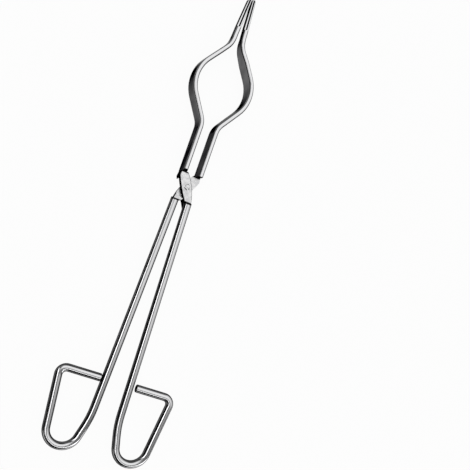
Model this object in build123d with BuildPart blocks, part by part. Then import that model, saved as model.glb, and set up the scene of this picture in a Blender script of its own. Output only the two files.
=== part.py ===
from build123d import *
from math import atan2, cos, hypot, radians, sin, tan
import os

# Crucible tongs, closed: two formed steel rods that cross at a riveted half-lap.
# Lengths are in millimetres. The tongs lie flat, jaws towards +Y and handles towards -Y.
# A reach is measured along the tongs from the pivot, an offset from their centre plane.

# Round rod of the handles
rod_diameter = 5.0

# Flattened strip of the jaws, standing on edge
strip_thickness = 2.9
strip_depth = 9.2
strip_edge_radius = 1.1
strip_lean = 6.0

# Jaws: lengths along the tongs from the pivot, and the offset of each bend
run_length = 40.8
lower_bend_radius = 11.0
bow_rise = 26.0
bow_corner_offset = 22.7
bow_radius = 20.5
bow_fall = 27.1
upper_bend_offset = 3.3
upper_bend_radius = 14.0

# Nose: the strip's depth tapers round the upper bend, then runs straight to the tip
taper_lead = 10.0
taper_tail = 5.6
nose_run = 5.5
nose_depth = 6.0

# Coined gripping tips
tip_length = 20.0
tip_width = 2.2
tip_depth = 4.2
tip_shoulder_width = 3.1
tip_edge_radius = 0.4
tip_corner_cut = 0.8
tip_gap = 0.4
face_flute_width = 0.75
grip_flute_width = 0.6
grip_flute_pitch = 1.1
grip_flute_count = 3

# Pivot plates, one lying on the other: offsets of the outline's corners and waist
plate_end_reach = 8.8
plate_head_outer = 6.7
plate_head_inner = 2.3
plate_shoulder_offset = 7.1
plate_shoulder_reach = 5.6
plate_outer_waist = 4.4
plate_inner_waist = 3.2
plate_foot_outer = 5.8
plate_foot_inner = 1.2
plate_face_height = 2.95
plate_rim_chamfer = 0.4
strip_end_bevel = 1.2
lap_radius = 7.4
lap_gap = 0.1

# Neck under the rod, below the lap
rod_root = 0.3
neck_length = 6.0
neck_foot_width = 2.0
neck_foot_depth = 2.2

# Pivot rivet
rivet_diameter = 2.6
rivet_head_diameter = 3.9
rivet_head_height = 0.7
rivet_seat_clearance = 0.02
rivet_running_clearance = 0.05

# Handles and finger loops, along the centre line of the rod
handle_start_offset = 4.4
handle_length = 151.5
handle_end_offset = 8.9
handle_bend_radius = 60.0
loop_drop = 21.0
loop_shift = 5.5
loop_bottom_width = 16.9
loop_height = 45.9
loop_flare = 5.4
loop_corner_radius = 4.7
front_loop_gap = 1.5
rear_loop_gap = 0.3
rod_end_chamfer = 0.3

# Places along the tongs that follow from these
rod_radius = rod_diameter / 2
bow_corner_reach = run_length + bow_rise
upper_bend_reach = bow_corner_reach + bow_fall
nose_length = taper_tail + nose_run + tip_length
jaw_reach = upper_bend_reach + nose_length
loop_bottom_reach = handle_length + loop_drop
crossbar_reach = loop_bottom_reach - loop_height
grip_reach = loop_bottom_reach + rod_radius
pivot_y = (grip_reach - jaw_reach) / 2
middle_height = strip_depth / 2

# Places across the tongs
run_offset = plate_head_outer - strip_thickness / 2
tip_offset = (tip_gap + tip_width) / 2
loop_inner_offset = handle_end_offset + loop_shift
loop_outer_offset = loop_inner_offset + loop_bottom_width
loop_corner_offset = loop_outer_offset + loop_flare
handle_lean = (handle_end_offset - handle_start_offset) / (handle_length - plate_end_reach)
rod_offset_at_crossbar = handle_start_offset + handle_lean * (crossbar_reach - plate_end_reach)

# Line of the left jaw's nose, which leans in to the tip
tip_lean = atan2(upper_bend_offset - tip_offset, nose_length)
tip_direction = Vector(sin(tip_lean), cos(tip_lean))
tip_across = Vector(cos(tip_lean), -sin(tip_lean))
tip_end = Vector(-tip_offset, jaw_reach)
nose_foot = tip_end - tip_direction * (tip_length + nose_run)
taper_end = (nose_foot.X, nose_foot.Y)

# Corners of the bow's upper limb, and the start of the taper on it
bow_corner = (-bow_corner_offset, bow_corner_reach)
upper_bend = (-upper_bend_offset, upper_bend_reach)
limb_shift = bow_corner_offset - upper_bend_offset
taper_share = taper_lead / hypot(limb_shift, bow_fall)
taper_start = (-upper_bend_offset - taper_share * limb_shift, upper_bend_reach - taper_share * bow_fall)


def level(height):
    """Plane across the pivot, this far above the middle of the lap."""
    return Plane((0, pivot_y, middle_height + height))


def turn(before, corner, after):
    """Half of the change of heading at a corner of a bend line, in radians."""
    arriving = atan2(corner[1] - before[1], corner[0] - before[0])
    leaving = atan2(after[1] - corner[1], after[0] - corner[0])
    return abs(leaving - arriving) / 2


def full_round(before, first, second, after):
    """Radius at which the arcs on two neighbouring corners all but meet."""
    width = hypot(second[0] - first[0], second[1] - first[1])
    return 0.99 * width / (tan(turn(before, first, second)) + tan(turn(first, second, after)))


def plate_outline():
    """Outline of the front plate, from the left strip down to the right rod."""
    head = (-plate_head_inner, plate_end_reach)
    shoulder = (-plate_shoulder_offset, plate_shoulder_reach)
    outer_foot = (plate_foot_outer, -plate_end_reach)
    inner_foot = (plate_foot_inner, -plate_end_reach)
    with BuildSketch() as outline:
        with BuildLine():
            Polyline(shoulder, (-plate_head_outer, plate_end_reach), head)
            ThreePointArc(head, (plate_inner_waist, 0), outer_foot)
            Line(outer_foot, inner_foot)
            ThreePointArc(inner_foot, (-plate_outer_waist, 0), shoulder)
        make_face()
    return outline.sketch


def strip_section(plane, depth, lean):
    """Cross section of the strip, on a plane whose second axis points to the back."""
    sides = strip_thickness / 2
    shift = depth / 2 * tan(radians(lean))
    with BuildSketch(plane) as section:
        with BuildLine():
            Polyline(
                (shift - sides, -depth / 2),
                (shift + sides, -depth / 2),
                (sides - shift, depth / 2),
                (-sides - shift, depth / 2),
                close=True,
            )
        make_face()
        fillet(section.vertices(), strip_edge_radius)
    return section.sketch


def fluted_section(plane, width):
    """Cross section of a gripping tip, with V flutes on its front, back and gripping face."""
    with BuildSketch(plane) as section:
        RectangleRounded(width, tip_depth, tip_edge_radius)
        with GridLocations(0, tip_depth, 1, 2):
            Rectangle(face_flute_width, face_flute_width, rotation=45, mode=Mode.SUBTRACT)
        with Locations((width / 2, 0)):
            with GridLocations(0, grip_flute_pitch, 1, grip_flute_count):
                Rectangle(grip_flute_width, grip_flute_width, rotation=45, mode=Mode.SUBTRACT)
    return section.sketch


def plate_ends():
    """The plate's outline without the round lap in its middle."""
    with BuildSketch() as ends:
        add(plate_outline())
        Circle(lap_radius, mode=Mode.SUBTRACT)
    return ends.sketch


def formed_arm(bore_radius, loop_gap):
    """One arm: jaw on the left, plate in front, handle and finger loop on the right."""
    with BuildPart() as arm:
        # Plate with a chamfered rim, pressed to half the lap
        with BuildSketch(level(lap_gap / 2)):
            add(plate_outline())
        extrude(amount=plate_face_height - lap_gap / 2)
        chamfer(arm.faces().sort_by(Axis.Z)[-1].edges(), plate_rim_chamfer)

        # Root of the rod, outside the lap
        with BuildSketch(level(-rod_radius)):
            add(plate_ends())
            with Locations((0, lap_radius)):
                Rectangle(4 * lap_radius, 2 * lap_radius, mode=Mode.SUBTRACT)
        extrude(amount=rod_radius + lap_gap)
        with BuildSketch(level(0)):
            Circle(bore_radius)
        extrude(amount=plate_face_height, mode=Mode.SUBTRACT)

        # Handle rod, finger loop and crossbar, bent from one length
        handle_end = (handle_end_offset, -handle_length)
        loop_inner = (loop_inner_offset, -loop_bottom_reach)
        loop_outer = (loop_outer_offset, -loop_bottom_reach)
        loop_corner = (loop_corner_offset, -crossbar_reach)
        bottom_radius = full_round(handle_end, loop_inner, loop_outer, loop_corner)
        with BuildLine(level(0)) as handle_line:
            FilletPolyline(
                (handle_start_offset - handle_lean * rod_root, rod_root - plate_end_reach),
                handle_end,
                loop_inner,
                loop_outer,
                loop_corner,
                (rod_offset_at_crossbar + rod_radius + loop_gap, -crossbar_reach),
                radius=[handle_bend_radius, bottom_radius, bottom_radius, loop_corner_radius],
            )
        with BuildSketch(Plane(handle_line.line @ 0, z_dir=handle_line.line % 0)):
            Circle(rod_radius)
        sweep(path=handle_line.line)
        chamfer(arm.faces().filter_by(Axis.X).sort_by(Axis.X)[-1].edges(), rod_end_chamfer)

        # Strip on edge: straight run and bow
        with BuildLine(level(0)) as bow_line:
            FilletPolyline(
                (-run_offset, plate_end_reach),
                (-run_offset, run_length),
                bow_corner,
                taper_start,
                radius=[lower_bend_radius, bow_radius],
            )
        bow_start = Plane(bow_line.line @ 0, x_dir=(1, 0, 0), z_dir=(0, 1, 0))
        sweep(strip_section(bow_start, strip_depth, strip_lean), path=bow_line.line)

        # Taper of the strip's depth round the upper bend
        with BuildLine(level(0)) as taper_line:
            FilletPolyline(taper_start, upper_bend, taper_end, radius=upper_bend_radius)
        limb_direction = taper_line.line % 0
        limb_across = (limb_direction.Y, -limb_direction.X, 0)
        limb = Plane(taper_line.line @ 0, x_dir=limb_across, z_dir=limb_direction)
        nose = Plane(taper_line.line @ 1, x_dir=tip_across, z_dir=tip_direction)
        full_section = strip_section(limb, strip_depth, strip_lean)
        nose_section = strip_section(nose, nose_depth, 0)
        sweep([full_section, nose_section], path=taper_line.line, multisection=True)

        # Straight nose and coined tip, wider than the strip at its shoulder
        extrude(nose_section, amount=nose_run, dir=tip_direction)
        shoulder = nose.offset(nose_run)
        loft([fluted_section(shoulder, tip_shoulder_width), fluted_section(shoulder.offset(tip_length), tip_width)])

        # Outer corner cut off the tip's end
        with BuildSketch(Plane(level(-strip_depth).from_local_coords(tip_end), x_dir=tip_across)):
            with BuildLine():
                Polyline(
                    (-tip_width / 2 - tip_corner_cut, -2 * tip_corner_cut),
                    (-tip_width / 2 + 2 * tip_corner_cut, tip_corner_cut),
                    (-tip_width / 2 - tip_corner_cut, tip_corner_cut),
                    close=True,
                )
            make_face()
        extrude(amount=2 * strip_depth, mode=Mode.SUBTRACT)

        # Bevel on the strip's lower end, down to the plate
        with BuildSketch(Plane.YZ.offset(-run_offset - strip_thickness)):
            with BuildLine():
                Polyline(
                    (pivot_y + plate_end_reach, strip_depth - strip_end_bevel),
                    (pivot_y + plate_end_reach, strip_depth),
                    (pivot_y + plate_end_reach + strip_end_bevel, strip_depth),
                    close=True,
                )
            make_face()
        extrude(amount=2 * strip_thickness, mode=Mode.SUBTRACT)
    return arm.part


# The two arms are one form; the rear one is turned over about the tongs' long centre line
front_form = formed_arm(rivet_diameter / 2 + rivet_seat_clearance, front_loop_gap)
rear_form = formed_arm(rivet_diameter / 2 + rivet_running_clearance, rear_loop_gap)

with BuildPart() as front_arm:
    add(front_form)

    # Heels behind both ends of the plate, clear of the other plate as it swings
    with BuildSketch(level(-middle_height)):
        add(plate_ends())
    extrude(amount=middle_height + lap_gap)

    # Neck under the rod, from the lower heel's full depth to nothing
    neck_width = plate_foot_outer - plate_foot_inner
    neck_middle = (plate_foot_outer + plate_foot_inner) / 2
    neck_top = level(0).from_local_coords((neck_middle, -plate_end_reach))
    neck_foot = level(0).from_local_coords(
        (handle_start_offset + handle_lean * neck_length, -plate_end_reach - neck_length)
    )
    with BuildSketch(Plane(neck_top, x_dir=(1, 0, 0), z_dir=(0, -1, 0))):
        with Locations((0, -middle_height / 2)):
            Rectangle(neck_width, middle_height)
    with BuildSketch(Plane(neck_foot, x_dir=(1, 0, 0), z_dir=(0, -1, 0))):
        with Locations((0, -neck_foot_depth / 2)):
            Rectangle(neck_foot_width, neck_foot_depth)
    loft()

with BuildPart() as rear_arm:
    add(rear_form.rotate(Axis((0, pivot_y, middle_height), (0, 1, 0)), 180))

# Rivet with a low domed head on each plate
with BuildPart() as rivet:
    head_radius = rivet_head_diameter / 2
    shank_radius = rivet_diameter / 2
    front_seat = plate_face_height
    front_crown = front_seat + rivet_head_height
    rear_seat = -plate_face_height - lap_gap
    rear_crown = rear_seat - rivet_head_height
    with BuildSketch(Plane((0, pivot_y, middle_height), x_dir=(1, 0, 0), z_dir=(0, -1, 0))):
        with BuildLine():
            TangentArc((0, front_crown), (head_radius, front_seat), tangent=(1, 0))
            Line((head_radius, front_seat), (shank_radius, front_seat))
            Line((shank_radius, front_seat), (shank_radius, rear_seat))
            Line((shank_radius, rear_seat), (head_radius, rear_seat))
            TangentArc((0, rear_crown), (head_radius, rear_seat), tangent=(1, 0))
            Line((0, rear_crown), (0, front_crown))
        make_face()
    revolve(axis=Axis((0, pivot_y, middle_height), (0, 0, 1)))

front_arm.part.label = "front_arm"
rear_arm.part.label = "rear_arm"
rivet.part.label = "rivet"

os.makedirs("parts", exist_ok=True)
export_step(front_arm.part, "parts/front_arm.step")
export_step(rear_arm.part, "parts/rear_arm.step")
export_step(rivet.part, "parts/rivet.step")
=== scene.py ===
from math import atan2, cos, radians, sin

import bpy
from mathutils import Matrix, Vector

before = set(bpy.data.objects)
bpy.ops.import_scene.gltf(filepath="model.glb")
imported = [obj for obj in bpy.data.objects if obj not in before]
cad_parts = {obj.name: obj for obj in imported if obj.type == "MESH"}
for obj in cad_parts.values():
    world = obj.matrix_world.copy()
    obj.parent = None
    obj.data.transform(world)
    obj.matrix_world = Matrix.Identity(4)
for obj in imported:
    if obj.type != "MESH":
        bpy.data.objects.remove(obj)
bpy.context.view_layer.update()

# Camera, solved from the photograph. Places are in metres in the row frame
AIM = Vector((0.0, -0.035, 0.0046))
LEAN_LEFT = 0.24918
LEAN_DOWN = 0.03898
DISTANCE = 0.3451
ROLL = radians(19.332)
FOCAL_PIXELS = 563.0
IMAGE_PIXELS = 470.0
AIM_PIXEL = (153.8, 279.4)
SENSOR = 36.0
CLIP_START = 0.01

# Places on an arm, in metres. Those along the arm count from the pivot towards the jaws
PIVOT = Vector((0.0, 0.025, 0.0046))
PLATE_HALF_LENGTH = 0.0088
STRIP_START = 0.0085
STRIP_CORNER = 0.0084
ROD_CORNER = -0.0092
CORNER_HALF_WIDTH = 0.0005
NECK_MIDDLE = -0.0118
NECK_HALF_LENGTH = 0.0030
LAP_HALF_HEIGHT = 0.0007
FLUTES_START = 0.1051

# Base colours of the steel, with painted shade on the sides, in the flutes and in the corners
FACE = (0.84, 0.84, 0.85)
HAZE = (0.55, 0.55, 0.56)
# Painted shade for the sides of rods and strips, which face away from up
ROD_SIDE_SHADE = (0.06, 0.06, 0.061)
STRIP_SIDE_SHADE = (0.12, 0.12, 0.122)
# Painted shade in the flutes of the tips
FLUTE_SHADE = (0.03, 0.03, 0.03)
FLUTE_RIDGE = (0.86, 0.86, 0.87)
PLATE_DULL = (0.72, 0.72, 0.73)
PLATE_BRIGHT = (0.98, 0.98, 0.98)
RIVET_DULL = (0.78, 0.78, 0.79)
RIVET_BRIGHT = (0.96, 0.96, 0.96)
# Painted shade where rod and strip rise from the plate and on the neck
CORNER_SHADE = (0.02, 0.02, 0.02)
GRAZING_TINT = (0.15, 0.15, 0.15, 1.0)

# Studio: floor, softbox, and the direction out of the plane that bounds its dark side
FLOOR_HALF_SIZE = 3.0
FLOOR_DROP = 0.0002
FLOOR_GLOW_SHARE = 0.95
SOFTBOX_PLACE = (-0.50, -0.15, 1.02)
SOFTBOX_WIDTH = 0.4
SOFTBOX_LENGTH = 1.6
SOFTBOX_WATTS = 0.8
DARK_SIDE = (0.460, 0.797, 0.396)
DARK_LEVEL = 0.004
WINDOW_LEVEL = 2.2


def add_camera():
    back = Vector((-LEAN_LEFT, -LEAN_DOWN, (1 - LEAN_LEFT ** 2 - LEAN_DOWN ** 2) ** 0.5))
    up = (Vector((0, 1, 0)) - back * back.y).normalized()
    right = up.cross(back)
    rolled_up = up * cos(ROLL) - right * sin(ROLL)
    rolled_right = right * cos(ROLL) + up * sin(ROLL)
    data = bpy.data.cameras.new("photo_camera")
    data.sensor_width = SENSOR
    data.lens = FOCAL_PIXELS / IMAGE_PIXELS * SENSOR
    data.shift_x = (IMAGE_PIXELS / 2 - AIM_PIXEL[0]) / IMAGE_PIXELS
    data.shift_y = (AIM_PIXEL[1] - IMAGE_PIXELS / 2) / IMAGE_PIXELS
    data.clip_start = CLIP_START
    camera = bpy.data.objects.new("photo_camera", data)
    rotation = Matrix((rolled_right, rolled_up, back)).transposed().to_4x4()
    camera.matrix_world = Matrix.Translation(AIM + back * DISTANCE) @ rotation
    bpy.context.scene.collection.objects.link(camera)
    bpy.context.scene.camera = camera


class Nodes:
    """Short names for building one node tree."""

    def __init__(self, tree):
        self.tree = tree
        tree.nodes.clear()

    def add(self, kind, **settings):
        node = self.tree.nodes.new(kind)
        for name, value in settings.items():
            setattr(node, name, value)
        return node

    def put(self, socket, value):
        if isinstance(value, bpy.types.NodeSocket):
            self.tree.links.new(value, socket)
        elif isinstance(value, tuple) and len(value) == 3 and socket.type == "RGBA":
            socket.default_value = (*value, 1.0)
        else:
            socket.default_value = value

    def math(self, operation, a, b=0.0):
        node = self.add("ShaderNodeMath", operation=operation)
        self.put(node.inputs[0], a)
        self.put(node.inputs[1], b)
        return node.outputs[0]

    def ramp(self, value, low, high, start=0.0, end=1.0):
        """start below low, end above high, smooth between."""
        node = self.add("ShaderNodeMapRange", interpolation_type="SMOOTHSTEP")
        self.put(node.inputs["Value"], value)
        node.inputs["From Min"].default_value = low
        node.inputs["From Max"].default_value = high
        node.inputs["To Min"].default_value = start
        node.inputs["To Max"].default_value = end
        return node.outputs["Result"]

    def step(self, value, place, blur):
        """0 before place and 1 after it."""
        return self.ramp(value, place - blur, place + blur)

    def band(self, value, middle, half_width, blur):
        """1 within half_width of the middle and 0 outside."""
        distance = self.math("ABSOLUTE", self.math("SUBTRACT", value, middle))
        return self.ramp(distance, half_width - blur, half_width + blur, 1.0, 0.0)

    def mix(self, share, a, b):
        node = self.add("ShaderNodeMix", data_type="RGBA")
        self.put(node.inputs["Factor"], share)
        self.put(node.inputs[6], a)
        self.put(node.inputs[7], b)
        return node.outputs[2]

    def blend(self, share, a, b):
        """Number between a and b."""
        node = self.add("ShaderNodeMix", data_type="FLOAT")
        self.put(node.inputs[0], share)
        self.put(node.inputs[2], a)
        self.put(node.inputs[3], b)
        return node.outputs[0]

    def split(self, vector):
        node = self.add("ShaderNodeSeparateXYZ")
        self.put(node.inputs[0], vector)
        return node.outputs

    def noise(self, vector, scale, detail=3.0, roughness=0.5):
        node = self.add("ShaderNodeTexNoise")
        self.put(node.inputs["Vector"], vector)
        node.inputs["Scale"].default_value = scale
        node.inputs["Detail"].default_value = detail
        node.inputs["Roughness"].default_value = roughness
        return node.outputs["Fac"]

    def stretch(self, vector, scale):
        node = self.add("ShaderNodeMapping")
        self.put(node.inputs["Vector"], vector)
        node.inputs["Scale"].default_value = scale
        return node.outputs["Vector"]

    def bump(self, height, strength, distance, below=None):
        node = self.add("ShaderNodeBump")
        self.put(node.inputs["Height"], height)
        node.inputs["Strength"].default_value = strength
        node.inputs["Distance"].default_value = distance
        if below is not None:
            self.put(node.inputs["Normal"], below)
        return node.outputs["Normal"]

    def metal(self, colour, roughness, normal):
        shader = self.add("ShaderNodeBsdfPrincipled")
        shader.inputs["Metallic"].default_value = 1.0
        self.put(shader.inputs["Base Color"], colour)
        self.put(shader.inputs["Roughness"], roughness)
        self.put(shader.inputs["Normal"], normal)
        self.finish("ShaderNodeOutputMaterial", shader.outputs["BSDF"])
        return shader

    def finish(self, kind, surface):
        out = self.add(kind)
        self.put(out.inputs["Surface"], surface)


def add_material(name):
    material = bpy.data.materials.new(name)
    material.use_nodes = True
    return material, Nodes(material.node_tree)


def steel_material():
    """Polished rods and strips with painted shade on their sides, in the flutes of the tips and in
    the corners, and satin pressed plates.
    """
    material, n = add_material("tongs_steel")
    place = n.add("ShaderNodeTexCoord").outputs["Object"]
    y, z = n.split(place)[1:]
    facing = n.split(n.add("ShaderNodeTexCoord").outputs["Normal"])
    side_share = n.math("ABSOLUTE", facing[0])
    up_share = n.math("ABSOLUTE", facing[2])
    along = n.math("SUBTRACT", y, PIVOT.y)
    flat_face = n.ramp(up_share, 0.93, 0.98)
    plate = n.math("MULTIPLY", n.band(along, 0.0, PLATE_HALF_LENGTH, 0.0002), flat_face)

    # Fine drawn streaks along the arms, pressed mottle and a wide haze
    streaks = n.noise(n.stretch(place, (2600.0, 60.0, 2600.0)), 1.0, detail=2.0)
    mottle = n.noise(place, 600.0, detail=4.0, roughness=0.6)
    cloud = n.noise(place, 120.0)

    # Rods and strips: painted shade, a dark colour on the sides that face away from up, a little
    # lighter on the sides of the strips
    strip = n.step(along, STRIP_START, 0.0005)
    rod_face = n.ramp(up_share, 0.64, 0.92)
    strip_face = n.ramp(up_share, 0.84, 0.97)
    side_shade = n.mix(strip, ROD_SIDE_SHADE, STRIP_SIDE_SHADE)
    colour = n.mix(n.mix(strip, rod_face, strip_face), side_shade, FACE)
    colour = n.mix(n.ramp(cloud, 0.3, 0.7, 0.0, 0.10), colour, HAZE)

    # Coined tips, with painted shade: black in the flutes, whose faces turn away from up
    fluted_shade = n.mix(n.ramp(up_share, 0.80, 0.95), FLUTE_SHADE, FLUTE_RIDGE)
    colour = n.mix(n.step(along, FLUTES_START, 0.0003), colour, fluted_shade)

    # Pressed plates
    stamped = n.mix(n.ramp(mottle, 0.38, 0.62), PLATE_DULL, PLATE_BRIGHT)
    colour = n.mix(plate, colour, stamped)

    # Painted shade in the corners, where rod and strip rise from the plate, and on the low part of
    # the neck
    rod_corner = n.band(along, ROD_CORNER, CORNER_HALF_WIDTH, 0.0001)
    strip_corner = n.band(along, STRIP_CORNER, CORNER_HALF_WIDTH, 0.0001)
    not_side = n.ramp(side_share, 0.6, 0.9, 1.0, 0.0)
    near_lap = n.band(z, PIVOT.z, LAP_HALF_HEIGHT, 0.0002)
    neck = n.math("MULTIPLY", n.band(along, NECK_MIDDLE, NECK_HALF_LENGTH, 0.0001), near_lap)
    painted_shade = n.math("MAXIMUM", rod_corner, n.math("MULTIPLY", not_side, strip_corner))
    painted_shade = n.math("MAXIMUM", painted_shade, n.math("MULTIPLY", neck, flat_face))
    colour = n.mix(painted_shade, colour, CORNER_SHADE)

    drawn = n.ramp(streaks, 0.2, 0.8, 0.07, 0.13)
    satin = n.ramp(mottle, 0.3, 0.7, 0.28, 0.40)
    fine = n.bump(streaks, strength=0.03, distance=0.00001)
    pressed = n.bump(n.math("MULTIPLY", mottle, plate), strength=0.6, distance=0.00006, below=fine)
    shader = n.metal(colour, n.blend(plate, drawn, satin), pressed)
    shader.inputs["Specular Tint"].default_value = GRAZING_TINT
    return material


def rivet_material():
    """Satin peened head with fine dimples."""
    material, n = add_material("rivet_steel")
    dimples = n.noise(n.add("ShaderNodeTexCoord").outputs["Object"], 1500.0)
    colour = n.mix(n.ramp(dimples, 0.3, 0.7), RIVET_DULL, RIVET_BRIGHT)
    roughness = n.ramp(dimples, 0.3, 0.7, 0.30, 0.42)
    n.metal(colour, roughness, n.bump(dimples, strength=0.4, distance=0.00004))
    return material


def dress(node_name, material):
    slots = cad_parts[node_name].data.materials
    for index in range(len(slots)):
        slots[index] = material


def add_floor():
    """White to the camera and in reflections, and keeps the shadow."""
    reach = FLOOR_HALF_SIZE
    mesh = bpy.data.meshes.new("floor")
    corners = [(-reach, -reach, 0), (reach, -reach, 0), (reach, reach, 0), (-reach, reach, 0)]
    mesh.from_pydata(corners, [], [(0, 1, 2, 3)])
    floor = bpy.data.objects.new("floor", mesh)
    floor.location.z = -FLOOR_DROP
    bpy.context.scene.collection.objects.link(floor)
    material, n = add_material("floor_white")
    rays = n.add("ShaderNodeLightPath").outputs
    seen = n.math("MAXIMUM", rays["Is Camera Ray"], rays["Is Transmission Ray"])
    seen = n.math("MAXIMUM", seen, rays["Is Glossy Ray"])
    diffuse = n.add("ShaderNodeBsdfDiffuse")
    diffuse.inputs["Color"].default_value = (1.0, 1.0, 1.0, 1.0)
    glow = n.add("ShaderNodeEmission")
    n.put(glow.inputs["Strength"], seen)
    share = n.add("ShaderNodeMixShader")
    share.inputs[0].default_value = FLOOR_GLOW_SHARE
    n.put(share.inputs[1], diffuse.outputs[0])
    n.put(share.inputs[2], glow.outputs[0])
    n.finish("ShaderNodeOutputMaterial", share.outputs[0])
    mesh.materials.append(material)


def add_softbox():
    data = bpy.data.lights.new("softbox", "AREA")
    data.energy = SOFTBOX_WATTS
    data.shape = "RECTANGLE"
    data.size = SOFTBOX_WIDTH
    data.size_y = SOFTBOX_LENGTH
    light = bpy.data.objects.new("softbox", data)
    light.location = SOFTBOX_PLACE
    light.rotation_euler = (0.0, atan2(SOFTBOX_PLACE[0], SOFTBOX_PLACE[2]), 0.0)
    bpy.context.scene.collection.objects.link(light)


def add_world():
    """White to the camera; the steel sees a pale studio with one dark side."""
    world = bpy.data.worlds.new("studio")
    world.use_nodes = True
    bpy.context.scene.world = world
    n = Nodes(world.node_tree)
    rays = n.add("ShaderNodeLightPath").outputs
    direction = n.add("ShaderNodeTexCoord").outputs["Generated"]
    right, ahead, up = n.split(direction)

    # Height above a slanted plane: all below it, low in front and on the left, is dark
    slanted = n.add("ShaderNodeVectorMath", operation="DOT_PRODUCT")
    n.put(slanted.inputs[0], direction)
    slanted.inputs[1].default_value = DARK_SIDE
    rise = slanted.outputs["Value"]

    # Dome that grows lighter away from the dark side, and dims low on the right and ahead
    dome = n.ramp(rise, 0.26, 0.66, 0.15, 0.95)
    dome = n.math("MULTIPLY", dome, n.ramp(right, 0.45, 1.0, 1.0, 0.6))
    dome = n.math("MULTIPLY", dome, n.ramp(ahead, 0.80, 0.92, 1.0, 0.06))

    # Long bright window along the edge of the dark side
    window = n.ramp(rise, 0.10, 0.16, WINDOW_LEVEL, 0.0)
    lit = n.ramp(rise, -0.01, 0.03, DARK_LEVEL, 1.0)
    dome = n.math("MULTIPLY", n.math("ADD", dome, window), lit)

    # White backdrop low down at the four corners, where neither rods nor crossbars look
    aside = n.math("MULTIPLY", n.math("ABSOLUTE", right), 0.6)
    sector = n.math("SUBTRACT", n.math("ABSOLUTE", ahead), aside)
    corners = n.math("ABSOLUTE", n.math("MULTIPLY", right, ahead))
    top = n.math("SUBTRACT", up, n.math("MULTIPLY", corners, 0.9))
    backdrop = n.math("MULTIPLY", n.ramp(sector, 0.02, 0.12), n.ramp(top, -0.15, 0.0, 1.0, 0.0))
    dome = n.math("MAXIMUM", dome, backdrop)

    seen = n.math("MAXIMUM", rays["Is Camera Ray"], rays["Is Transmission Ray"])
    background = n.add("ShaderNodeBackground")
    background.inputs["Color"].default_value = (1.0, 1.0, 1.0, 1.0)
    n.put(background.inputs["Strength"], n.math("MAXIMUM", seen, dome))
    n.finish("ShaderNodeOutputWorld", background.outputs[0])


add_camera()
steel = steel_material()
dress("front_arm", steel)
dress("rear_arm", steel)
dress("rivet", rivet_material())
add_floor()
add_world()
add_softbox()
bpy.context.scene.view_settings.view_transform = "Standard"
